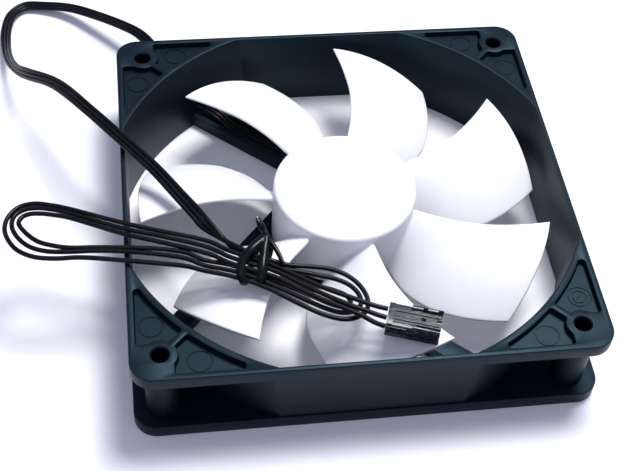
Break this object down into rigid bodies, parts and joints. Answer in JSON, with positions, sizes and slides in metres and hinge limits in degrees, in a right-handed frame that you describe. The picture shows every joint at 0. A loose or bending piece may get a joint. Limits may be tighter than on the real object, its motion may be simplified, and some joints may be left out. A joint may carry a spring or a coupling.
{
  "type": "case fan",
  "caption": "Square axial case fan: black open-flange frame on slanted struts, white swept-blade rotor on a brushless hub motor, tied ribbon lead with a small plug",
  "frame": {"origin": "centre of the exhaust face, on the rotor's axis: the bottom centre of the square frame", "axes": "+Z along the rotor's axis from the exhaust face to the intake face, +X and +Y along the frame's sides"},
  "size_m": [0.1573, 0.168, 0.0316],
  "materials": {
    "frame_plastic": "black satin glass-filled PBT, fine moulded grain",
    "rotor_plastic": "milky white moulded plastic, semi-gloss",
    "lead": "black PVC insulation, satin",
    "tie": "black plastic-covered steel wire",
    "plug_plastic_gloss": "glossy smoky black nylon",
    "plug_plastic": "black soft plastic",
    "seal_rubber": "black oil-resistant rubber",
    "label_foil": "plain silver foil, no print",
    "brass": "turned brass",
    "bronze": "oil-filled sintered bronze",
    "steel": "bare steel",
    "nylon": "natural nylon",
    "copper": "enamelled copper wire",
    "board": "green solder mask",
    "chip": "moulded epoxy",
    "magnet": "plastic-bonded ferrite",
    "tin": "tin-plated brass"
  },
  "bodies": {
    "frame": {"frame": "frame_plastic", "bearing_tube": "brass", "bearing_sleeve": "bronze", "thrust_pad": "nylon", "oil_seal_ring": "seal_rubber", "rear_plug": "plug_plastic", "rear_label": "label_foil", "stator_core": "steel", "stator_insulator_lower": "nylon", "stator_insulator_upper": "nylon", "coil_1": "copper", "coil_2": "copper", "coil_3": "copper", "coil_4": "copper", "circuit_board": "board", "driver_ic": "chip", "hall_sensor": "chip", "capacitor": "chip", "resistor": "chip", "lead_in_strut": "lead", "ribbon_cable": "lead", "cable_hank": "lead", "twist_tie": "tie", "connector_housing": "plug_plastic_gloss", "terminal_1": "tin", "terminal_2": "tin", "terminal_3": "tin", "lead_tail_1": "lead", "lead_tail_2": "lead", "lead_tail_3": "lead"},
    "rotor": {"impeller": "rotor_plastic", "rotor_yoke": "steel", "ring_magnet": "magnet", "shaft": "steel", "shaft_bush": "brass", "retaining_clip": "nylon"}
  },
  "joints": [
    {"name": "rotor_spin", "type": "hinge", "parent": "frame", "child": "rotor", "pos_m": [0, 0, 0.012], "axis": [0, 0, 1], "continuous": true}
  ]
}
